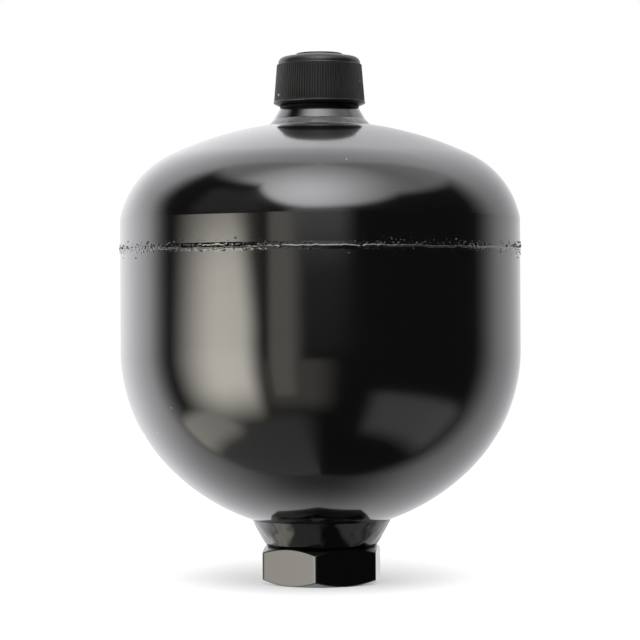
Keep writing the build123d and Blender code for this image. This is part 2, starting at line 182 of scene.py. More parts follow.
def make_studio_group():
    """The brightness of the room in every direction."""
    group = bpy.data.node_groups.new("studio_plan", "ShaderNodeTree")
    group.interface.new_socket("Direction", in_out="INPUT", socket_type="NodeSocketVector")
    group.interface.new_socket("Light", in_out="OUTPUT", socket_type="NodeSocketFloat")
    group.interface.new_socket("Tint", in_out="OUTPUT", socket_type="NodeSocketColor")
    direction = group.nodes.new("NodeGroupInput").outputs[0]
    azimuth, elevation = angles_of(group, direction)

    from_left = calc(group, "ABSOLUTE", calc(group, "SUBTRACT", azimuth, sweep_middle))
    near_left = ramp(group, from_left, 55.0, 0.0, 0.0, 0.75)
    not_high = ramp(group, elevation, 28.0, 2.0)
    not_low = ramp(group, elevation, -55.0, -12.0)
    low_left = product(group, near_left, not_high, not_low)
    rising = ramp(group, elevation, -5.0, 52.0, sweep_light, sweep_light + 0.65)
    left_sweep = calc(group, "ADD", low_left, rising)
    left_edge = ramp(group, elevation, 5.0, 30.0, -92.0, -101.0)
    off_edge = calc(group, "SUBTRACT", left_edge, azimuth)
    left_side = calc(group, "MULTIPLY", ramp(group, off_edge, 0.0, 25.0), left_sweep)
    right_sweep = ramp(group, elevation, 15.0, 60.0, sweep_light - 0.06, sweep_light + 0.65)
    right_side = calc(group, "MULTIPLY", ramp(group, azimuth, 94.0, 124.0), right_sweep)
    fall = ramp(group, elevation, -84.0, -46.0, 0.2, 1.0)
    sweep = calc(group, "MULTIPLY", calc(group, "MAXIMUM", left_side, right_side), fall)

    sideways = calc(group, "ADD", azimuth, 4.0)
    bow = ramp(group, sideways, -4.0, 4.0, 0.0135, 0.004)
    arch = calc(group, "ADD", product(group, sideways, sideways, bow), 27.6)
    arch_limit = ramp(group, azimuth, -20.0, 20.0, 55.0, 41.5)
    over_arch = calc(group, "SUBTRACT", elevation, calc(group, "MINIMUM", arch, arch_limit))
    inputs = {0: direction, 1: aim(*softbox_aim)}
    closeness = add_node(group, "ShaderNodeVectorMath", inputs, operation="DOT_PRODUCT").outputs["Value"]
    off_softbox = calc(group, "DEGREES", calc(group, "ARCCOSINE", closeness))
    softbox = ramp(group, off_softbox, 50.0, 0.0, 0.0, softbox_light)
    from_front = calc(group, "ABSOLUTE", azimuth)
    side_ceiling = ramp(group, from_front, 50.0, 85.0, 0.0, -0.35)
    back_ceiling = ramp(group, from_front, 100.0, 150.0, 0.0, 0.4)
    plain = calc(group, "ADD", calc(group, "ADD", side_ceiling, back_ceiling), ceiling_light)
    overhead = calc(group, "ADD", softbox, plain)
    ceiling = calc(group, "MULTIPLY", overhead, ramp(group, over_arch, -5.0, 5.0))

    slant = calc(group, "MULTIPLY", calc(group, "MAXIMUM", elevation, 0.0), 3.0)
    slanted = calc(group, "ADD", azimuth, slant)
    turned = calc(group, "SUBTRACT", azimuth, calc(group, "MULTIPLY", slant, 0.5))
    open_side = ramp(group, turned, -97.0, -58.0)
    pane = panel(group, slanted, elevation, (-150, -130, -46, -31), (-50, -17, 0.9, 3.8), window_light)
    window = calc(group, "MULTIPLY", pane, open_side)
    board = panel(group, azimuth, elevation, (-112, -102, -72, -50), (-56, -43, -34, -26), 1.6)
    card = panel(group, azimuth, elevation, (-32, -26, -19, -6), (-36, -26, 6, 22), 0.85)
    card_foot = panel(group, azimuth, elevation, (-42, -26, -6, 16), (-46, -30, -9, -2), 0.42)
    stand = panel(group, azimuth, elevation, (-24, -14, 8, 24), (1, 2.6, 25, 30), 0.7)
    bench = panel(group, azimuth, elevation, (24, 40, 88, 112), (-60, -46, -31, -22), 0.45)
    ground = panel(group, azimuth, elevation, (-130, -100, -20, 6), (-95, -88, -50, -30), 0.3)
    wall_behind = panel(group, azimuth, elevation, (-90, -72, -44, -22), (10, 24, 40, 52), 0.17)
    light = calc(group, "MAXIMUM", sweep, ceiling)
    for part in (window, board, card, card_foot, stand, bench, ground, wall_behind):
        light = calc(group, "MAXIMUM", light, part)
    light = calc(group, "MAXIMUM", light, room_light)
    lamps = window
    for part in (board, card, card_foot):
        lamps = calc(group, "MAXIMUM", lamps, part)
    warmth = calc(group, "DIVIDE", lamps, light, clamp=True)
    red = ramp(group, warmth, 0.0, 1.0, 0.975, 1.02)
    blue = ramp(group, warmth, 0.0, 1.0, 1.0, 0.88)
    tint = add_node(group, "ShaderNodeCombineColor", {0: red, 1: 0.98, 2: blue}).outputs[0]
    result = group.nodes.new("NodeGroupOutput").inputs
    group.links.new(light, result[0])
    group.links.new(tint, result[1])
    return group


studio_group = make_studio_group()
print("studio plan:", len(studio_group.nodes), "nodes")

# %% [markdown]
# ## The world
# The plan goes into the world, which lights the object from every side. Light that has already bounced
# once between the bowl and the port would meet the table in the object's own shade, so for such rays the
# lower half of the plan shows less. The camera sees plain white.

# %% World
second_bounce = 1.5
shaded_part = 0.7


def make_world():
    """The studio plan for light and reflections, and plain white for the camera."""
    world = bpy.data.worlds.new("studio")
    world.use_nodes = True
    tree = world.node_tree
    tree.nodes.clear()
    plan = tree.nodes.new("ShaderNodeGroup")
    plan.node_tree = studio_group
    direction = add_node(tree, "ShaderNodeTexCoord").outputs["Generated"]
    tree.links.new(direction, plan.inputs[0])
    path = add_node(tree, "ShaderNodeLightPath")
    again = calc(tree, "GREATER_THAN", path.outputs["Glossy Depth"], second_bounce)
    height = add_node(tree, "ShaderNodeSeparateXYZ", {0: direction}).outputs["Z"]
    downward = calc(tree, "LESS_THAN", height, 0.0)
    shaded = calc(tree, "MULTIPLY", calc(tree, "MULTIPLY", again, downward), shaded_part)
    strength = calc(tree, "MULTIPLY", plan.outputs[0], calc(tree, "SUBTRACT", 1.0, shaded))
    room = add_node(tree, "ShaderNodeBackground", {"Color": plan.outputs[1], "Strength": strength})
    white = add_node(tree, "ShaderNodeBackground", {"Color": (1, 1, 1, 1), "Strength": 1.0})
    either = {0: path.outputs["Is Camera Ray"], 1: room.outputs[0], 2: white.outputs[0]}
    mix = add_node(tree, "ShaderNodeMixShader", either)
    add_node(tree, "ShaderNodeOutputWorld", {"Surface": mix.outputs[0]})
    bpy.context.scene.world = world


make_world()
print("world:", bpy.context.scene.world.name)

# %% [markdown]
# ## The floor
# The object stands on a pale table. For the camera the table glows a little, so that it runs into the
# white background and still keeps the shadow round the port. Glossy reflections pass it by and meet the
# lower half of the studio plan, which stands for what a polished table would show.

# %% Floor
floor_size = 2.4
floor_grey = 0.8
floor_glow = 0.4


def make_floor():
    """A flat pale table for the camera and for soft light, which glossy rays pass by."""
    mesh = bpy.data.meshes.new("floor")
    half = floor_size / 2
    corners = [(-half, -half, 0), (half, -half, 0), (half, half, 0), (-half, half, 0)]
    mesh.from_pydata(corners, [], [(0, 1, 2, 3)])
    material = bpy.data.materials.new("floor_white")
    material.use_nodes = True
    material.cycles.emission_sampling = "NONE"
    tree = material.node_tree
    tree.nodes.clear()
    path = add_node(tree, "ShaderNodeLightPath")
    seen = calc(tree, "MULTIPLY", path.outputs["Is Camera Ray"], floor_glow)
    table = add_node(tree, "ShaderNodeBsdfDiffuse", {"Color": (floor_grey, floor_grey, floor_grey, 1)})
    glow = add_node(tree, "ShaderNodeEmission", {"Strength": seen})
    lit = add_node(tree, "ShaderNodeAddShader", {0: table.outputs[0], 1: glow.outputs[0]})
    add_node(tree, "ShaderNodeOutputMaterial", {"Surface": lit.outputs[0]})
    mesh.materials.append(material)
    floor = bpy.data.objects.new("floor", mesh)
    floor.visible_glossy = False
    floor.visible_transmission = False
    bpy.context.scene.collection.objects.link(floor)


make_floor()
print("floor:", floor_size, "m square")

# %% [markdown]
# ## Surface effects shared by the finishes
# Dust lies on everything in the picture, and paint is never quite flat. Both effects serve several
# materials, so each is a shader node group with named inputs, built once and placed where it is needed.
# They could come from pictures, but noise and cells made by nodes stay sharp at any distance.

# %% Shader groups
def new_group(name, inputs, outputs):
    """An empty shader group. inputs and outputs map names to (socket type, default value)."""
    group = bpy.data.node_groups.new(name, "ShaderNodeTree")
    for in_out, sockets in (("INPUT", inputs), ("OUTPUT", outputs)):
        for label, (kind, default) in sockets.items():
            socket = group.interface.new_socket(label, in_out=in_out, socket_type=kind)
            if in_out == "INPUT" and default is not None:
                socket.default_value = default
    source = group.nodes.new("NodeGroupInput")
    return group, source.outputs, group.nodes.new("NodeGroupOutput").inputs


def make_relief_group():
    """Paint's orange peel and slower waves, as a height in metres."""
    group, given, result = new_group(
        "paint_relief",
        {
            "Peel Height": ("NodeSocketFloat", 0.000002),
            "Peel Scale": ("NodeSocketFloat", 900.0),
            "Wave Height": ("NodeSocketFloat", 0.00002),
            "Wave Scale": ("NodeSocketFloat", 60.0),
        },
        {"Height": ("NodeSocketFloat", None)},
    )
    place = add_node(group, "ShaderNodeTexCoord").outputs["Object"]
    heights = []
    for kind in ("Peel", "Wave"):
        inputs = {"Vector": place, "Scale": given[f"{kind} Scale"], "Detail": 1.0}
        noise = add_node(group, "ShaderNodeTexNoise", inputs).outputs["Fac"]
        heights.append(calc(group, "MULTIPLY", noise, given[f"{kind} Height"]))
    group.links.new(calc(group, "ADD", *heights), result["Height"])
    return group


def make_dust_group():
    """Specks of pale dust: a few round grains in random places, as a mask from 0 to 1."""
    group, given, result = new_group(
        "dust",
        {
            "Grain Scale": ("NodeSocketFloat", 400.0),
            "Grain Size": ("NodeSocketFloat", 0.18),
            "Share": ("NodeSocketFloat", 0.02),
        },
        {"Mask": ("NodeSocketFloat", None)},
    )
    place = add_node(group, "ShaderNodeTexCoord").outputs["Object"]
    cells = add_node(group, "ShaderNodeTexVoronoi", {"Vector": place, "Scale": given["Grain Scale"]})
    pick = add_node(group, "ShaderNodeSeparateColor", {0: cells.outputs["Color"]})
    chosen = calc(group, "LESS_THAN", pick.outputs[0], given["Share"])
    size = calc(group, "MULTIPLY", pick.outputs[1], given["Grain Size"])
    near = calc(group, "LESS_THAN", cells.outputs["Distance"], size)
    group.links.new(calc(group, "MULTIPLY", chosen, near), result["Mask"])
    return group


relief_group = make_relief_group()
dust_group = make_dust_group()
print("shader groups:", relief_group.name, dust_group.name)

# %% [markdown]
# ## The finishes
# The paint is a dark base under a clear gloss. On top of the dome the gloss is a little hazy. On the port
# and its weld cone the paint mirrors less, which is painted shade: what they reflect lies in the vessel's
# shade. The cap is a moulded plastic with a fine grain, the rubber is dull, and the steel inside is turned
# or plated. Values that are the same all over a piece are set on the shader itself, and nodes drive only
# what changes over the surface.

# %% Materials
def new_material(name):
    """A material with a Principled shader, and its tree."""
    material = bpy.data.materials.new(name)
    material.use_nodes = True
    tree = material.node_tree
    return material, tree, tree.nodes["Principled BSDF"]


def use_group(tree, group, **values):
    """Place a shader group with its own values. Underscores in a name stand for spaces."""
    node = tree.nodes.new("ShaderNodeGroup")
    node.node_tree = group
    for name, value in values.items():
        node.inputs[name.replace("_", " ").title()].default_value = value
    return node.outputs[0]


def colour_mix(tree, mask, low, high):
    """A colour that goes from one to another with a mask."""
    inputs = {"Factor": mask, "A": (*low, 1), "B": (*high, 1)}
    node = tree.nodes.new("ShaderNodeMix")
    node.data_type = "RGBA"
    for name, value in inputs.items():
        socket = [s for s in node.inputs if s.name == name and s.enabled][0]
        if isinstance(value, bpy.types.NodeSocket):
            tree.links.new(value, socket)
        else:
            socket.default_value = value
    return [s for s in node.outputs if s.enabled][0]


paint_black = (0.0025, 0.0025, 0.0025)
dust_colour = (0.42, 0.41, 0.38)
dust_roughness = 0.9
clear_coat_roughness = 0.04
hazy_coat_roughness = 0.13
haze_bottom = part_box("upper_shell")[1].z - 18 * mm
haze_top = haze_bottom + 12 * mm


def height_of(tree):
    """Height of a point of the surface, in metres."""
    place = add_node(tree, "ShaderNodeTexCoord").outputs["Object"]
    return add_node(tree, "ShaderNodeSeparateXYZ", {0: place}).outputs[2]


def make_paint(name, roughness, peel_height, wave_height, dust_share, coat_roughness):
    """Gloss black paint under a clear coat, with orange peel, slow waves and dust."""
    material, tree, shader = new_material(name)
    dust = use_group(tree, dust_group, grain_scale=330.0, grain_size=0.15, share=dust_share)
    height = use_group(tree, relief_group, peel_height=peel_height, wave_height=wave_height)
    bump = add_node(tree, "ShaderNodeBump", {"Strength": 1.0, "Distance": 1.0, "Height": height})
    tree.links.new(colour_mix(tree, dust, paint_black, dust_colour), shader.inputs["Base Color"])
    tree.links.new(ramp(tree, dust, 0.0, 1.0, roughness, dust_roughness), shader.inputs["Roughness"])
    tree.links.new(bump.outputs[0], shader.inputs["Normal"])
    shader.inputs["Coat Weight"].default_value = 1.0
    shader.inputs["Coat IOR"].default_value = 1.5
    shader.inputs["Coat Roughness"].default_value = coat_roughness
    return material


def make_hazy(material):
    """The same paint with a coat that turns hazy towards the top of the dome."""
    tree = material.node_tree
    haze = ramp(tree, height_of(tree), haze_bottom, haze_top, clear_coat_roughness, hazy_coat_roughness)
    tree.links.new(haze, tree.nodes["Principled BSDF"].inputs["Coat Roughness"])
    return material


def make_shade_dimmed(material, coat):
    """The same paint made to mirror a little less: painted shade, because the table that the port reflects
    lies in the vessel's shade.
    """
    shader = material.node_tree.nodes["Principled BSDF"]
    shader.inputs["Specular IOR Level"].default_value = 0.3
    shader.inputs["Coat Weight"].default_value = coat
    return material


def make_boss_finish(edge):
    """Gloss paint up to a level, and dull phosphated steel above it, where the cap kept the paint off."""
    material = make_paint("boss_paint", **smooth_paint, dust_share=0.01, coat_roughness=hazy_coat_roughness)
    tree = material.node_tree
    shader = tree.nodes["Principled BSDF"]
    bare = calc(tree, "GREATER_THAN", height_of(tree), edge)
    changes = {"Roughness": (0.16, 0.55), "Coat Weight": (1.0, 0.0), "Specular IOR Level": (0.5, 0.12)}
    for name, (painted, phosphated) in changes.items():
        tree.links.new(ramp(tree, bare, 0.0, 1.0, painted, phosphated), shader.inputs[name])
    return material


fine_relief = 0.02 * mm


def make_plastic():
    """Moulded black plastic with a fine spark-eroded grain and dust."""
    material, tree, shader = new_material("cap_plastic")
    place = add_node(tree, "ShaderNodeTexCoord").outputs["Object"]
    grain = add_node(tree, "ShaderNodeTexNoise", {"Vector": place, "Scale": 2600.0, "Detail": 2.0})
    patch = add_node(tree, "ShaderNodeTexNoise", {"Vector": place, "Scale": 120.0, "Detail": 2.0})
    dust = use_group(tree, dust_group, grain_scale=620.0, grain_size=0.36, share=0.04)
    inputs = {"Strength": 0.35, "Distance": fine_relief, "Height": grain.outputs["Fac"]}
    bump = add_node(tree, "ShaderNodeBump", inputs)
    colour = colour_mix(tree, dust, (0.013, 0.0127, 0.0123), (0.6, 0.6, 0.58))
    tree.links.new(colour, shader.inputs["Base Color"])
    tree.links.new(ramp(tree, patch.outputs["Fac"], 0.3, 0.7, 0.3, 0.42), shader.inputs["Roughness"])
    tree.links.new(bump.outputs[0], shader.inputs["Normal"])
    return material


def make_rubber():
    """Nitrile rubber: nearly black, dull, with a faint pale bloom."""
    material, tree, shader = new_material("nitrile_rubber")
    place = add_node(tree, "ShaderNodeTexCoord").outputs["Object"]
    bloom = add_node(tree, "ShaderNodeTexNoise", {"Vector": place, "Scale": 90.0, "Detail": 4.0})
    fog = ramp(tree, bloom.outputs["Fac"], 0.45, 0.75)
    colour = colour_mix(tree, fog, (0.014, 0.014, 0.014), (0.045, 0.045, 0.044))
    tree.links.new(colour, shader.inputs["Base Color"])
    tree.links.new(ramp(tree, bloom.outputs["Fac"], 0.3, 0.7, 0.55, 0.75), shader.inputs["Roughness"])
    return material


def make_steel(name, dark, light, groove_scale):
    """Turned steel: fine rings round the axis, read from the height and the distance from the axis."""
    material, tree, shader = new_material(name)
    place = add_node(tree, "ShaderNodeTexCoord").outputs["Object"]
    x, y, z = add_node(tree, "ShaderNodeSeparateXYZ", {0: place}).outputs
    reach = calc(tree, "SQRT", calc(tree, "ADD", product(tree, x, x), product(tree, y, y)))
    along = calc(tree, "MULTIPLY", calc(tree, "ADD", reach, z), groove_scale)
    inputs = {"W": along, "Scale": 1.0, "Detail": 3.0}
    rings = add_node(tree, "ShaderNodeTexNoise", inputs, noise_dimensions="1D")
    inputs = {"Strength": 0.3, "Distance": fine_relief, "Height": rings.outputs["Fac"]}
    bump = add_node(tree, "ShaderNodeBump", inputs)
    tree.links.new(colour_mix(tree, rings.outputs["Fac"], dark, light), shader.inputs["Base Color"])
    tree.links.new(ramp(tree, rings.outputs["Fac"], 0.3, 0.7, 0.24, 0.36), shader.inputs["Roughness"])
    tree.links.new(bump.outputs[0], shader.inputs["Normal"])
    shader.inputs["Metallic"].default_value = 1.0
    return material


smooth_paint = {"roughness": 0.16, "peel_height": 0.0012 * mm, "wave_height": 0.01 * mm}
shell_finish = {"roughness": 0.16, "peel_height": 0.0012 * mm, "wave_height": 0.04 * mm, "dust_share": 0.016}
weld_finish = {"roughness": 0.14, "peel_height": 0.004 * mm, "wave_height": 0.04 * mm, "dust_share": 0.004}
clear = {"coat_roughness": clear_coat_roughness}
hazy = {"coat_roughness": hazy_coat_roughness}

bowl_paint = make_paint("bowl_paint", **shell_finish, **clear)
dome_paint = make_hazy(make_paint("dome_paint", **shell_finish, **clear))
# the port and the weld cone mirror less than the shells: painted shade in their reflections
port_paint = make_shade_dimmed(make_paint("port_paint", **smooth_paint, dust_share=0.02, **clear), 1.0)
cone_paint = make_shade_dimmed(make_paint("cone_paint", **weld_finish, **clear), 0.75)
bead_paint = make_paint("bead_paint", **weld_finish, **clear)
ring_paint = make_paint("ring_paint", **weld_finish, **hazy)
plastic = make_plastic()
rubber = make_rubber()
turned_steel = make_steel("turned_steel", (0.42, 0.42, 0.43), (0.58, 0.58, 0.58), 9000.0)
plated_steel = make_steel("plated_steel", (0.5, 0.5, 0.47), (0.66, 0.66, 0.62), 14000.0)
print("materials:", [m.name for m in bpy.data.materials if m.users])

# %% [markdown]
# ## Turning a piece on a lathe
# Nearly every piece here was drawn or turned about one axis, so its whole shape is one outline: distance
# from the axis against height. The outline is sampled finely on its arcs, its corners get a small paint
# radius, and it is then spun. Points just outside each rounded corner hold the flat faces flat, so that
# the gloss does not smear across them.

# %% Outlines
def arc(centre, radius, start, end, steps=10):
    """Points along an arc. Angles are in degrees: 0 points away from the axis and 90 points up."""
    angles = np.radians(np.linspace(start, end, steps + 1))
    return [(centre[0] + radius * math.cos(a), centre[1] + radius * math.sin(a)) for a in angles]


def run(first, last, steps):
    """Evenly spaced points on a straight edge."""
    return [tuple(p) for p in np.linspace(first, last, steps + 1)]


def softened(outline, radius, steps=4, least_turn=7.0):
    """A closed outline with its corners rounded and a holding point on each side of every corner."""
    points = [np.array(p, float) for n, p in enumerate(outline) if math.dist(p, outline[n - 1]) > 1e-6]
    result = []
    for n, corner in enumerate(points):
        before, after = points[n - 1] - corner, points[(n + 1) % len(points)] - corner
        length_before, length_after = np.linalg.norm(before), np.linalg.norm(after)
        before, after = before / length_before, after / length_after
        turn = math.pi - math.acos(max(-1.0, min(1.0, float(before @ after))))
        if math.degrees(turn) < least_turn:
            result.append(tuple(corner))
            continue
        reach = min(radius * math.tan(turn / 2), 0.3 * min(length_before, length_after))
        result.append(tuple(corner + before * reach * 1.5))
        for t in np.linspace(0, 1, steps + 1):
            result.append(tuple(corner + before * reach * (1 - t) ** 2 + after * reach * t**2))
        result.append(tuple(corner + after * reach * 1.5))
    return result


def lathe(name, outline, around=288, angles=None, shape=None):
    """A closed mesh of revolution. shape may change each point's radius by its height and angle."""
    angles = np.linspace(0, 2 * math.pi, around, endpoint=False) if angles is None else angles
    mesh_builder = bmesh.new()
    rings = []
    for radius, height in outline:
        if radius < 1e-6:
            rings.append([mesh_builder.verts.new((0, 0, height * mm))] * len(angles))
            continue
        ring = []
        for angle in angles:
            reach = radius if shape is None else shape(radius, height, angle)
            place = (reach * math.cos(angle) * mm, reach * math.sin(angle) * mm, height * mm)
            ring.append(mesh_builder.verts.new(place))
        rings.append(ring)
    for low, high in zip(rings, rings[1:] + rings[:1]):
        for n in range(len(angles)):
            corners = [low[n - 1], low[n], high[n], high[n - 1]]
            unique = [v for k, v in enumerate(corners) if v is not corners[k - 1]]
            if len(unique) > 2:
                mesh_builder.faces.new(unique)
    bmesh.ops.recalc_face_normals(mesh_builder, faces=mesh_builder.faces)
    mesh = bpy.data.meshes.new(name)
    mesh_builder.to_mesh(mesh)
    mesh_builder.free()
    mesh.shade_smooth()
    piece = bpy.data.objects.new(name, mesh)
    bpy.context.scene.collection.objects.link(piece)
    return piece


def dress(piece, node, body, material):
    """Give a finished piece its material and the body that it moves with, and hide the solid that it
    replaces.
    """
    piece.data.materials.clear()
    piece.data.materials.append(material)
    if body:
        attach(piece, body)
    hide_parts(node)
    print(f"{piece.name}: {len(piece.data.polygons)} faces")


print("lathe ready")

# %% [markdown]
# ## The two drawn shells
# Each shell is a barrel that runs into a knuckle and then into a flatter crown. The barrels were turned to
# size after drawing, which leaves a faint crease where the tool stopped, and that crease breaks the
# reflections in the picture. The two arcs share a tangent, so one function gives the whole meridian.

# %% Shell sizes
barrel_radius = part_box("lower_shell")[1].x / mm
seam_level = (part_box("girth_weld")[0].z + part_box("girth_weld")[1].z) / 2 / mm
wall = 5.5
weld_face_width = 2.6
weld_root_width = 0.8
lower_head = {"level": seam_level - 35.6, "offset": 11.0, "rise": 10.9, "side": -1}
upper_head = {"level": seam_level + 5.6, "offset": 41.2, "rise": 85.3, "side": 1}
lower_reach = barrel_radius + 0.02
upper_reach = barrel_radius + 0.5
print("barrel", round(barrel_radius * 2, 2), "mm, seam at", round(seam_level, 2), "mm")


# %% Shells
def meridian(head, reach, inner, outer, steps=44):
    """Points on a head's outline between two distances from the axis."""
    knuckle = reach - head["offset"]
    crown = knuckle + math.hypot(head["offset"], head["rise"])
    meeting = math.atan2(head["rise"], head["offset"])
    crown_angles = np.linspace(math.acos(inner / crown), meeting, steps)
    knuckle_angles = np.linspace(meeting, math.acos((outer - head["offset"]) / knuckle), steps)[1:]
    points = [(crown * math.cos(a), crown * math.sin(a) - head["rise"]) for a in crown_angles]
    points += [(head["offset"] + knuckle * math.cos(a), knuckle * math.sin(a)) for a in knuckle_angles]
    return [(radius, head["level"] + head["side"] * height) for radius, height in points]


def crown_level(head, reach, radius):
    """Height of a head's crown at a distance from the axis."""
    return meridian(head, reach, radius, reach, 2)[0][1]


def make_shell(name, head, reach, hole_radius):
    """One shell as a closed skin: outside, bevelled rim, inside and bored hole."""
    outside = meridian(head, reach, hole_radius, barrel_radius)
    inside = meridian(head, barrel_radius - wall, hole_radius, barrel_radius - wall)
    rim_out = (barrel_radius, seam_level + head["side"] * weld_face_width / 2)
    rim_in = (barrel_radius - wall, seam_level + head["side"] * weld_root_width / 2)
    near_rim = (barrel_radius, rim_out[1] + head["side"] * 0.1)
    outline = outside + run(outside[-1], near_rim, 12)[1:] + [rim_out, rim_in] + inside[::-1]
    return lathe(name, softened(outline, 2.5, 5))


port_spigot_radius = 19.0
boss_spigot_radius = 12.0
hex_height = 13.5
hex_face_radius = 20.2
collar_level = hex_height + 0.8
boss_foot_radius = 16.6
lower_skin = make_shell("lower_shell_skin", lower_head, lower_reach, port_spigot_radius)
upper_skin = make_shell("upper_shell_skin", upper_head, upper_reach, boss_spigot_radius)
dress(lower_skin, "lower_shell", "vessel", bowl_paint)
dress(upper_skin, "upper_shell", "vessel", dome_paint)

# %% [markdown]
# ## One tree for every thread
# A thread is the same groove repeated along a helix. The turned blank already has fine rows, and a Geometry
# Nodes tree moves each point in or out by its height and its angle: one turn of angle shifts the groove by
# one pitch. The same tree cuts the boss's outside thread and taps the port's inside thread, with a
# different pitch and depth.

# %% Geometry Nodes helpers
def new_tree(name, inputs):
    """A Geometry Nodes tree that takes and returns geometry. inputs maps names to (type, default)."""
    tree = bpy.data.node_groups.new(name, "GeometryNodeTree")
    tree.interface.new_socket("Geometry", in_out="INPUT", socket_type="NodeSocketGeometry")
    for label, (kind, default) in inputs.items():
        socket = tree.interface.new_socket(label, in_out="INPUT", socket_type=kind)
        if default is not None:
            socket.default_value = default
    tree.interface.new_socket("Geometry", in_out="OUTPUT", socket_type="NodeSocketGeometry")
    return tree, tree.nodes.new("NodeGroupInput").outputs, tree.nodes.new("NodeGroupOutput").inputs


def finish_tree(tree, geometry, given, result):
    """End a tree in real geometry with one material."""
    real = add_node(tree, "GeometryNodeRealizeInstances", {0: geometry})
    painted = add_node(tree, "GeometryNodeSetMaterial", {0: real.outputs[0], "Material": given["Material"]})
    tree.links.new(painted.outputs[0], result[0])


def axis_place(tree):
    """Angle about the vertical axis, height, outward direction and distance from the axis."""
    place = add_node(tree, "GeometryNodeInputPosition").outputs[0]
    x, y, z = add_node(tree, "ShaderNodeSeparateXYZ", {0: place}).outputs
    flat = add_node(tree, "ShaderNodeCombineXYZ", {0: x, 1: y}).outputs[0]
    outward = add_node(tree, "ShaderNodeVectorMath", {0: flat}, operation="NORMALIZE").outputs[0]
    distance = add_node(tree, "ShaderNodeVectorMath", {0: flat}, operation="LENGTH").outputs["Value"]
    return calc(tree, "ARCTAN2", y, x), z, outward, distance


def linear(tree, value, low, high, to_low=0.0, to_high=1.0):
    """A straight ramp of a value from one level to another, held beyond both ends."""
    inputs = {"Value": value, "From Min": low, "From Max": high, "To Min": to_low, "To Max": to_high}
    return add_node(tree, "ShaderNodeMapRange", inputs).outputs["Result"]


def times(tree, vector, amount):
    """A vector made longer or shorter."""
    return add_node(tree, "ShaderNodeVectorMath", {0: vector, "Scale": amount}, operation="SCALE").outputs[0]


def move_outward(tree, geometry, outward, amount):
    """Move points away from the axis."""
    offset = times(tree, outward, amount)
    return add_node(tree, "GeometryNodeSetPosition", {"Geometry": geometry, "Offset": offset}).outputs[0]


def apply_tree(piece, tree, **values):
    """Run a tree on a piece with the given inputs and keep the result as its mesh."""
    modifier = piece.modifiers.new(tree.name, "NODES")
    modifier.node_group = tree
    for item in tree.interface.items_tree:
        key = item.name.replace(" ", "_").lower()
        if item.in_out == "INPUT" and key in values:
            modifier[item.identifier] = values[key]
    depsgraph = bpy.context.evaluated_depsgraph_get()
    made = bpy.data.meshes.new_from_object(piece.evaluated_get(depsgraph))
    made.name = piece.name
    piece.modifiers.remove(modifier)
    piece.data = made
    return piece


def centred_noise(tree, vector, scale, detail=2.0):
    """Noise about zero, from -0.5 to 0.5."""
    noise = add_node(tree, "ShaderNodeTexNoise", {"Vector": vector, "Scale": scale, "Detail": detail})
    return calc(tree, "SUBTRACT", noise.outputs["Fac"], 0.5)


print("Geometry Nodes helpers ready")

# %% Thread tree
def make_thread_tree():
    """Cut a helical groove between two heights. A negative depth taps it outwards into a bore."""
    tree, given, result = new_tree(
        "screw_thread",
        {
            "Pitch": ("NodeSocketFloat", 0.0015),
            "Depth": ("NodeSocketFloat", 0.0009),
            "Bottom": ("NodeSocketFloat", 0.0),
            "Top": ("NodeSocketFloat", 0.01),
            "Reach": ("NodeSocketFloat", 0.014),
            "Run Out": ("NodeSocketFloat", 0.001),
            "Material": ("NodeSocketMaterial", None),
        },
    )
    angle, height, outward, distance = axis_place(tree)
    turns = calc(tree, "DIVIDE", angle, 2 * math.pi)
    phase = calc(tree, "FRACT", calc(tree, "SUBTRACT", calc(tree, "DIVIDE", height, given["Pitch"]), turns))
    from_crest = calc(tree, "ABSOLUTE", calc(tree, "SUBTRACT", phase, 0.5))
    groove = linear(tree, from_crest, 0.07, 0.42)
    from_bottom = calc(tree, "SUBTRACT", height, given["Bottom"])
    from_top = calc(tree, "SUBTRACT", given["Top"], height)
    above = calc(tree, "DIVIDE", from_bottom, given["Run Out"], clamp=True)
    below = calc(tree, "DIVIDE", from_top, given["Run Out"], clamp=True)
    off_face = calc(tree, "ABSOLUTE", calc(tree, "SUBTRACT", distance, given["Reach"]))
    on_face = calc(tree, "LESS_THAN", off_face, 0.00002)
    inward = product(tree, groove, above, below, on_face, given["Depth"], -1.0)
    finish_tree(tree, move_outward(tree, given["Geometry"], outward, inward), given, result)
    return tree


thread_tree = make_thread_tree()
print("thread inputs:", [s.name for s in thread_tree.interface.items_tree if s.in_out == "INPUT"])

# %% [markdown]
# ## Weld metal under the paint
# The port and the boss are joined to the shells by rings of weld metal. A good fillet weld swells a little
# between its two toes, so each ring's face is an arc. Laid by hand, it is also lumpy, which breaks up the
# reflections. A small tree moves the turned ring's points along their normals by smooth noise.

# %% Lump tree
def make_lump_tree():
    """Push points along their normals by smooth noise."""
    tree, given, result = new_tree(
        "weld_lumps",
        {
            "Height": ("NodeSocketFloat", 0.0004),
            "Scale": ("NodeSocketFloat", 130.0),
            "Material": ("NodeSocketMaterial", None),
        },
    )
    place = add_node(tree, "GeometryNodeInputPosition").outputs[0]
    normal = add_node(tree, "GeometryNodeInputNormal").outputs[0]
    push = product(tree, centred_noise(tree, place, given["Scale"], 1.5), given["Height"])
    inputs = {"Geometry": given["Geometry"], "Offset": times(tree, normal, push)}
    moved = add_node(tree, "GeometryNodeSetPosition", inputs)
    finish_tree(tree, moved.outputs[0], given, result)
    return tree


lump_tree = make_lump_tree()
print("lump inputs:", [s.name for s in lump_tree.interface.items_tree if s.in_out == "INPUT"])

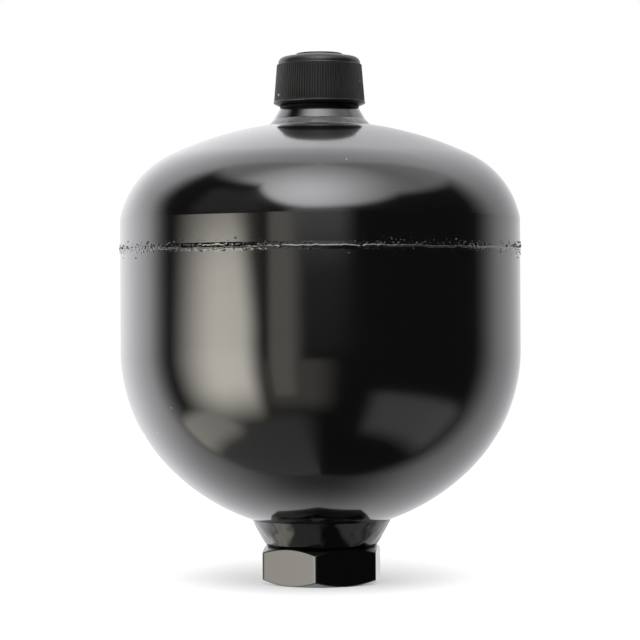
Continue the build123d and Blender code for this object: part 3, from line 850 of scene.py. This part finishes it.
# %% Port weld and boss weld
def swollen(first, last, swell, steps=12):
    """An edge between two points that swells to the right of its direction."""
    first, last = np.array(first), np.array(last)
    along = last - first
    out = np.array((along[1], -along[0])) / np.linalg.norm(along)
    return [tuple(first + along * t + out * swell * 4 * t * (1 - t)) for t in np.linspace(0, 1, steps + 1)]


cone_toe_radius = hex_face_radius + 5.0
cone_swell = 0.16
ring_toe_radius = boss_foot_radius + 1.9
ring_inside_radius = boss_foot_radius - 2.0


def make_port_weld():
    """The cone of weld metal between the port's collar and the lower shell."""
    toe = (cone_toe_radius, crown_level(lower_head, lower_reach, cone_toe_radius))
    foot = (hex_face_radius + 0.4, collar_level)
    root = (port_spigot_radius, crown_level(lower_head, lower_reach, port_spigot_radius))
    buried = (toe[0] + 0.35, toe[1] + 0.25)
    outline = swollen(foot, toe, cone_swell, 20) + [buried, root, (port_spigot_radius, collar_level)]
    piece = lathe("port_weld_skin", softened(outline, 0.3))
    return apply_tree(piece, lump_tree, height=1.0 * mm, scale=120.0, material=cone_paint)


def make_boss_weld():
    """The weld ring round the boss's foot."""
    foot_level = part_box("boss_weld")[1].z / mm
    toe = (ring_toe_radius, crown_level(upper_head, upper_reach, ring_toe_radius))
    root = (ring_inside_radius, crown_level(upper_head, upper_reach, ring_inside_radius))
    buried = (ring_toe_radius + 0.2, toe[1] - 0.3)
    face = swollen(toe, (boss_foot_radius + 0.02, foot_level + 0.02), 0.02)
    outline = face + [(ring_inside_radius, foot_level - 0.6), root, buried]
    piece = lathe("boss_weld_skin", softened(outline, 0.12), around=720)
    return apply_tree(piece, lump_tree, height=0.3 * mm, scale=260.0, material=ring_paint)


dress(make_port_weld(), "port_weld", "vessel", cone_paint)
dress(make_boss_weld(), "boss_weld", "vessel", ring_paint)

# %% [markdown]
# ## Gas boss
# The boss is turned from bar: a cone foot, a short neck and a long M28 x 1.5 thread that only shows when
# the cap is off. A deep socket in its top holds the charging screw. It could be cut from a cylinder with
# Boolean modifiers, but one turned outline has every step of it, with clean rows for the thread tree.

# %% Gas boss
boss_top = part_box("gas_boss")[1].z / mm
boss_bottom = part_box("gas_boss")[0].z / mm
thread_radius = 14.0
neck_radius = 14.3
cone_top = boss_top - 16.4
thread_bottom = boss_top - 15.6
socket_radius = 8.5
socket_floor = boss_top - 9.0
gas_passage_radius = 1.5
seal_recess_radius = 5.7
tapping_radius = 4.08


def make_gas_boss():
    """Cone foot, neck, threaded blank and the stepped hole of the boss."""
    base = crown_level(upper_head, upper_reach, boss_spigot_radius)
    cone = run((boss_foot_radius, cone_top - 4.0), (neck_radius, cone_top), 8)
    blank = run((thread_radius, thread_bottom), (thread_radius, boss_top - 1.0), 170)
    outside = [(gas_passage_radius, boss_bottom), (boss_spigot_radius, boss_bottom)]
    outside += [(boss_spigot_radius, base), (boss_foot_radius, base)]
    neck = [(neck_radius, thread_bottom)]
    mouth = [(13.0, boss_top), (9.0, boss_top), (socket_radius, boss_top - 0.5)]
    recess_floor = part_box("screw_seal")[0].z / mm - 0.05
    tapping_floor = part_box("charging_screw")[0].z / mm - 0.8
    hole = [
        (socket_radius, socket_floor),
        (seal_recess_radius, socket_floor),
        (seal_recess_radius, recess_floor),
        (tapping_radius, recess_floor),
        (tapping_radius, tapping_floor),
        (gas_passage_radius, tapping_floor),
    ]
    outline = outside + cone + neck + blank + mouth + hole
    piece = lathe("gas_boss_skin", softened(outline, 0.25, 3), around=160)
    return apply_tree(
        piece, thread_tree, pitch=1.5 * mm, depth=0.92 * mm, bottom=thread_bottom * mm,
        top=(boss_top - 0.6) * mm, reach=thread_radius * mm, run_out=0.8 * mm, material=boss_paint,
    )


boss_paint = make_boss_finish((cone_top - 0.25) * mm)
dress(make_gas_boss(), "gas_boss", "vessel", boss_paint)

# %% [markdown]
# ## Fluid port
# The port starts as hexagon bar. A turning tool chamfers both ends, which leaves curved edges on the
# flats, because a cone cuts a hexagon. The same happens here: each point takes the smaller of the
# hexagon's reach and the cone's reach at its height. Seen from below, the bore carries its pipe thread.

# %% Port
across_flats = 41.0
hex_turn = math.radians(24.9)
chamfer_slope = math.tan(math.radians(30))
chamfer_height = 2.4
corner_wear = 0.12
blank_radius = 24.0
bore_radius = 9.315
bore_depth = 14.5
countersink = 1.2
oil_passage_radius = 5.0
drill_half_angle = math.radians(59)


def soft_least(values, softness=0.4):
    """The smallest of some lengths, rounded where two of them meet."""
    least = values[0]
    for value in values[1:]:
        gap = max(softness - abs(least - value), 0.0) / softness
        least = min(least, value) - gap * gap * softness / 4
    return least


def hexagon_reach(radius, height, angle):
    """Distance from the axis of the chamfered hexagon, for points of its outside only."""
    if radius < hex_face_radius - 0.01 or height > hex_height:
        return radius
    side = math.radians(60)
    off_flat = (angle - hex_turn) % side - side / 2
    flat = across_flats / 2 / math.cos(off_flat)
    cone_low = hex_face_radius + max(height, 0) / chamfer_slope
    cone_high = hex_face_radius + max(hex_height - height, 0) / chamfer_slope
    corner = across_flats / 2 / math.cos(side / 2) - corner_wear
    return max(soft_least([flat, corner, cone_low, cone_high]), hex_face_radius - 0.1)


def make_port():
    """Hexagon, collar, spigot, seat and tapped bore."""
    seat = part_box("fluid_port")[1].z / mm
    upper_chamfer = hex_height - chamfer_height
    spans = ((0.0, chamfer_height, 26), (chamfer_height, upper_chamfer, 14), (upper_chamfer, hex_height, 26))
    rows = sorted(set(np.concatenate([np.linspace(*span) for span in spans])))
    side = [(blank_radius, z) for z in rows]
    outside = [(hex_face_radius - 0.6, 0.0), (hex_face_radius, 0.0)] + side + [(hex_face_radius, hex_height)]
    collar = [(hex_face_radius, collar_level), (port_spigot_radius, collar_level), (port_spigot_radius, seat)]
    drill_tip = (bore_radius - oil_passage_radius) / math.tan(drill_half_angle)
    inside = [(oil_passage_radius + 0.8, seat), (oil_passage_radius, seat - 0.8)]
    inside.append((oil_passage_radius, bore_depth + drill_tip))
    tapping = run((bore_radius, bore_depth), (bore_radius, countersink), 110)
    outline = outside + collar + inside + tapping + [(bore_radius + countersink, 0.0)]
    piece = lathe("fluid_port_skin", outline, around=480, shape=hexagon_reach)
    return apply_tree(
        piece, thread_tree, pitch=1.814 * mm, depth=-1.1 * mm, bottom=1.0 * mm, top=(bore_depth - 1.0) * mm,
        reach=bore_radius * mm, run_out=1.2 * mm, material=port_paint,
    )


dress(make_port(), "fluid_port", "vessel", port_paint)

# %% [markdown]
# ## Protective cap
# The cap is moulded plastic. Its grip has 104 narrow ribs that taper with the wall, between a smooth rim
# and a smooth shoulder. A rib could be modelled once and repeated, but then it would have to be joined to
# the wall. Here the blank is turned with angles chosen so that points fall on the edges of each rib, and a
# tree presses the grooves in between two heights.

# %% Rib tree
def make_rib_tree():
    """Press straight grooves into a turned wall."""
    tree, given, result = new_tree(
        "grip_ribs",
        {
            "Count": ("NodeSocketFloat", 104.0),
            "Depth": ("NodeSocketFloat", 0.00035),
            "Crest Share": ("NodeSocketFloat", 0.4),
            "Root Share": ("NodeSocketFloat", 0.2),
            "Bottom": ("NodeSocketFloat", 0.0),
            "Top": ("NodeSocketFloat", 0.01),
            "Least Reach": ("NodeSocketFloat", 0.015),
            "Material": ("NodeSocketMaterial", None),
        },
    )
    angle, height, outward, distance = axis_place(tree)
    ribs = calc(tree, "MULTIPLY", calc(tree, "DIVIDE", angle, 2 * math.pi), given["Count"])
    in_rib = calc(tree, "SUBTRACT", calc(tree, "FRACT", calc(tree, "ADD", ribs, 0.5)), 0.5)
    off_crest = calc(tree, "MULTIPLY", calc(tree, "ABSOLUTE", in_rib), 2.0)
    groove = linear(tree, off_crest, given["Crest Share"], calc(tree, "SUBTRACT", 1.0, given["Root Share"]))
    above = calc(tree, "GREATER_THAN", height, given["Bottom"])
    below = calc(tree, "LESS_THAN", height, given["Top"])
    on_wall = calc(tree, "GREATER_THAN", distance, given["Least Reach"])
    inward = product(tree, groove, above, below, on_wall, given["Depth"], -1.0)
    finish_tree(tree, move_outward(tree, given["Geometry"], outward, inward), given, result)
    return tree


rib_tree = make_rib_tree()
print("rib inputs:", [s.name for s in rib_tree.interface.items_tree if s.in_out == "INPUT"])

# %% Cap
rib_count = 104
rib_depth = 0.45
roof_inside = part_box("cap_seal")[1].z / mm
cap_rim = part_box("protective_cap")[0].z / mm
cap_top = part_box("protective_cap")[1].z / mm
rib_bottom = cap_rim + 1.45
rib_top = rib_bottom + 13.4
grip_foot_radius = 16.5
grip_head_radius = 15.42
shoulder_radius = 14.9
disc_radius = 8.3
cap_bore_radius = 14.2


def rib_angles():
    """Angles for each rib: across its crest, down its two flanks and along the groove."""
    stations = np.array([-0.5, -0.46, -0.4, -0.3, -0.21, -0.18, 0.0, 0.18, 0.21, 0.3, 0.4, 0.46])
    return np.concatenate([(n + stations) * 2 * math.pi / rib_count for n in range(rib_count)])


def make_cap():
    """Rounded rim, ribbed grip, shoulder and the low disc on top, with the blind bore inside."""
    rim = [(14.9, cap_rim), (16.35, cap_rim + 0.72)] + arc((16.2, cap_rim + 1.15), 0.48, -55, 0, 5)
    grip = [(16.7, rib_bottom - 0.15), (16.6, rib_bottom), (grip_foot_radius, rib_bottom + 0.02)]
    grip += run((grip_foot_radius, rib_bottom + 0.1), (grip_head_radius, rib_top - 0.1), 5)
    grip += [(15.4, rib_top), (14.98, rib_top + 0.02)]
    shoulder = [(shoulder_radius, rib_top + 0.1), (shoulder_radius, rib_top + 0.5)]
    brow = arc((shoulder_radius - 2.4, rib_top + 0.5), 2.4, 4, 85, 10)
    roof = [(8.36, cap_top - 0.5), (disc_radius, cap_top - 0.45), (disc_radius, cap_top - 0.25)]
    disc = arc((disc_radius - 0.25, cap_top - 0.25), 0.25, 20, 90, 4)
    disc += [(7.6, cap_top), (4.0, cap_top), (0.0, cap_top)]
    bore = [(0.0, roof_inside), (cap_bore_radius, roof_inside), (cap_bore_radius, cap_rim + 0.4)]
    bore.append((14.5, cap_rim))
    outline = rim + grip + shoulder + brow + roof + disc + bore
    piece = lathe("protective_cap_skin", outline, angles=rib_angles())
    return apply_tree(
        piece, rib_tree, count=float(rib_count), depth=rib_depth * mm, bottom=(rib_bottom + 0.01) * mm,
        top=(rib_top + 0.01) * mm, least_reach=15.0 * mm, material=plastic,
    )


dress(make_cap(), "protective_cap", "protective_cap", plastic)

# %% [markdown]
# ## Girth weld
# The seam is welded in one turn while the vessel rotates. The weld is nearly flush: a narrow crest stands
# up a quarter of a millimetre and wanders, the metal beside it is pitted and its edges are ragged. Sparks of
# metal stick beside it as small beads. The paint covers all of it. Bump in a material could fake this, but
# the weld also shows as a rough edge against the light, so two trees shape it in metal.

# %% Bead tree
def make_bead_tree():
    """Give a turned strip the narrow crest, the pits and the ragged edges of a weld bead."""
    tree, given, result = new_tree(
        "weld_bead",
        {
            "Middle": ("NodeSocketFloat", 0.12),
            "Half Width": ("NodeSocketFloat", 0.0015),
            "Crest Height": ("NodeSocketFloat", 0.0003),
            "Crest Width": ("NodeSocketFloat", 0.22),
            "Roughness": ("NodeSocketFloat", 0.0003),
            "Grain": ("NodeSocketFloat", 1100.0),
            "Wander": ("NodeSocketFloat", 0.5),
            "Drift": ("NodeSocketFloat", 0.0008),
            "Least Reach": ("NodeSocketFloat", 0.0722),
            "Material": ("NodeSocketMaterial", None),
        },
    )
    height, outward, distance = axis_place(tree)[1:]
    place = add_node(tree, "GeometryNodeInputPosition").outputs[0]
    on_skin = calc(tree, "GREATER_THAN", distance, given["Least Reach"])
    across = calc(tree, "DIVIDE", calc(tree, "SUBTRACT", height, given["Middle"]), given["Half Width"])
    squared = calc(tree, "MULTIPLY", across, across)
    fourth = product(tree, squared, squared)
    hold = calc(tree, "SUBTRACT", 1.0, product(tree, fourth, fourth), clamp=True)
    slow = centred_noise(tree, outward, 14.0, 3.0)
    jolt = centred_noise(tree, place, 380.0)
    grit = centred_noise(tree, place, given["Grain"], 3.0)
    lively = ramp(tree, centred_noise(tree, outward, 5.0, 3.0), -0.1, 0.1, 0.25, 1.0)
    whole = ramp(tree, centred_noise(tree, outward, 70.0), -0.2, -0.08)

    lean = calc(tree, "ADD", slow, product(tree, jolt, lively))
    off_crest = calc(tree, "SUBTRACT", across, product(tree, lean, given["Wander"]))
    ratio = calc(tree, "DIVIDE", off_crest, given["Crest Width"])
    bell = calc(tree, "EXPONENT", product(tree, ratio, ratio, -1.0))
    crest = product(tree, bell, given["Crest Height"], calc(tree, "MAXIMUM", whole, 0.25))
    rough = product(tree, grit, given["Roughness"], lively, hold)
    amount = calc(tree, "MULTIPLY", calc(tree, "ADD", crest, rough), on_skin)
    moved = move_outward(tree, given["Geometry"], outward, amount)
    sway = calc(tree, "ADD", slow, product(tree, jolt, lively, 0.7))
    rise = product(tree, sway, given["Drift"], on_skin)
    lift = add_node(tree, "ShaderNodeCombineXYZ", {2: rise}).outputs[0]
    placed = add_node(tree, "GeometryNodeSetPosition", {"Geometry": moved, "Offset": lift}).outputs[0]
    finish_tree(tree, placed, given, result)
    return tree


bead_tree = make_bead_tree()
print("bead inputs:", [s.name for s in bead_tree.interface.items_tree if s.in_out == "INPUT"])

# %% Spatter tree
def random_value(tree, low, high, seed):
    """A random number for each point."""
    inputs = {"Min": low, "Max": high, "Seed": seed}
    node = tree.nodes.new("FunctionNodeRandomValue")
    for name, value in inputs.items():
        socket = [k for k in node.inputs if k.name == name and k.enabled][0]
        socket.default_value = value
    return [k for k in node.outputs if k.enabled][0]


def make_spatter_tree():
    """Scatter small beads of metal beside a bead and join them to it."""
    tree, given, result = new_tree(
        "weld_spatter",
        {
            "Density": ("NodeSocketFloat", 400000.0),
            "Seam": ("NodeSocketFloat", 0.12),
            "Edge": ("NodeSocketFloat", 0.0012),
            "Spread": ("NodeSocketFloat", 0.0014),
            "Reach": ("NodeSocketFloat", 0.0725),
            "Least Size": ("NodeSocketFloat", 0.0001),
            "Most Size": ("NodeSocketFloat", 0.00045),
            "Seed": ("NodeSocketInt", 3),
            "Material": ("NodeSocketMaterial", None),
        },
    )
    height, outward, distance = axis_place(tree)[1:]
    on_skin = calc(tree, "GREATER_THAN", distance, calc(tree, "SUBTRACT", given["Reach"], 0.0002))
    upper = calc(tree, "GREATER_THAN", height, given["Seam"])
    chosen = calc(tree, "MULTIPLY", on_skin, upper)
    inputs = {0: given["Geometry"], "Selection": chosen, "Density": given["Density"]}
    points = add_node(tree, "GeometryNodeDistributePointsOnFaces", inputs)
    tree.links.new(given["Seed"], points.inputs["Seed"])
    throw = random_value(tree, 0.0, 1.0, 11)
    side = calc(tree, "SIGN", calc(tree, "SUBTRACT", random_value(tree, 0.0, 1.0, 12), 0.1))
    away = calc(tree, "ADD", given["Edge"], product(tree, throw, throw, throw, given["Spread"]))
    level = calc(tree, "ADD", given["Seam"], calc(tree, "MULTIPLY", side, away))
    ring = times(tree, outward, given["Reach"])
    lift = add_node(tree, "ShaderNodeCombineXYZ", {2: level}).outputs[0]
    place = add_node(tree, "ShaderNodeVectorMath", {0: ring, 1: lift}, operation="ADD").outputs[0]
    inputs = {"Geometry": points.outputs["Points"], "Position": place}
    placed = add_node(tree, "GeometryNodeSetPosition", inputs)
    draw = random_value(tree, 0.0, 1.0, 13)
    span = calc(tree, "SUBTRACT", given["Most Size"], given["Least Size"])
    size = calc(tree, "ADD", given["Least Size"], product(tree, draw, draw, draw, span))
    ball = add_node(tree, "GeometryNodeMeshIcoSphere", {"Radius": 1.0, "Subdivisions": 2})
    smooth = add_node(tree, "GeometryNodeSetShadeSmooth", {"Geometry": ball.outputs["Mesh"]})
    beads = add_node(
        tree,
        "GeometryNodeInstanceOnPoints",
        {"Points": placed.outputs[0], "Instance": smooth.outputs[0], "Scale": size},
    )
    joined = tree.nodes.new("GeometryNodeJoinGeometry")
    tree.links.new(given["Geometry"], joined.inputs[0])
    tree.links.new(beads.outputs[0], joined.inputs[0])
    finish_tree(tree, joined.outputs[0], given, result)
    return tree


spatter_tree = make_spatter_tree()
print("spatter inputs:", [s.name for s in spatter_tree.interface.items_tree if s.in_out == "INPUT"])

# %% Girth weld
bead_half_width = 1.8
bead_sink = 0.07
bead_crown = 0.12
bead_middle = seam_level - 0.3


def make_bead():
    """The V of weld metal, its ragged bead and the spatter beside it."""
    face = []
    for t in np.linspace(-1, 1, 31):
        reach = barrel_radius - bead_sink + bead_crown * (1 - t * t)
        face.append((reach, bead_middle + bead_half_width * t))
    inner = barrel_radius - wall
    foot = barrel_radius - 1.4
    root = weld_root_width / 2
    back = [(foot, 1.0), (inner, root), (inner, -root), (foot, -1.0)]
    outline = face + [(radius, seam_level + height) for radius, height in back]
    piece = lathe("girth_weld_skin", outline, around=1500)
    apply_tree(
        piece, bead_tree, middle=bead_middle * mm, half_width=bead_half_width * mm, crest_height=0.26 * mm,
        crest_width=0.15, roughness=0.5 * mm, grain=1000.0, wander=0.55, drift=0.5 * mm,
        least_reach=(barrel_radius - 0.3) * mm, material=bead_paint,
    )
    return apply_tree(
        piece, spatter_tree, density=560000.0, seam=bead_middle * mm, edge=0.9 * mm, spread=2.2 * mm,
        reach=(barrel_radius + 0.02) * mm, least_size=0.13 * mm, most_size=0.43 * mm, seed=3,
        material=bead_paint,
    )


dress(make_bead(), "girth_weld", "vessel", bead_paint)

# %% [markdown]
# ## Inside the vessel
# The diaphragm is moulded rubber and divides the gas from the oil. It is soft, and in use it bends between
# the vessel, which holds its bead, and the button, which travels up as oil comes in. Here it is one fixed
# mesh that follows neither. Its bowl could be a cut sphere, but the shells' own outline, set a little
# inwards, lies along the wall everywhere. The steel pieces keep their solids and get turned or plated steel.

# %% Diaphragm
rubber_wall = 2.0
rubber_clearance = 0.4
rim_bead_height = 5.6
rim_bead_width = 3.8
hub_radius = 15.2
stem_radius = 3.7


def make_diaphragm():
    """The moulded rubber bowl with its bead at the rim and a flat hub over the button."""
    bead_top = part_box("diaphragm")[1].z / mm
    bead_foot = bead_top - rim_bead_height
    outer = barrel_radius - wall - rubber_clearance
    inner = outer - rubber_wall
    button_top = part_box("closing_button")[0].z / mm + 3.0
    hub_low = button_top + 0.2
    hub_high = hub_low + rubber_wall
    oil = meridian(lower_head, outer, hub_radius, outer, 30)
    gas_hub_radius = [p for p in meridian(lower_head, inner, 5.0, inner, 200) if p[1] > hub_high][0][0]
    gas = meridian(lower_head, inner, gas_hub_radius, inner, 30)
    bead_inside = outer - rim_bead_width
    bead = [(outer, bead_foot), (outer, bead_top), (bead_inside, bead_top), (bead_inside, bead_foot)]
    bead.append((inner, bead_foot))
    hub = [(stem_radius, hub_high), (stem_radius, hub_low), (hub_radius, hub_low)]
    outline = hub + oil + bead + gas[::-1]
    return lathe("diaphragm_skin", softened(outline, 0.8, 4), around=192)


diaphragm = make_diaphragm()
dress(diaphragm, "diaphragm", None, rubber)
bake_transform(diaphragm)

# %% Steel and seals
finishes = {
    "clamp_ring": turned_steel,
    "closing_button": turned_steel,
    "charging_screw": plated_steel,
    "screw_seal": rubber,
    "cap_seal": rubber,
}
for node, material in finishes.items():
    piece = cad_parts[node]
    piece.data.materials.clear()
    piece.data.materials.append(material)
    print(node, "in", material.name)
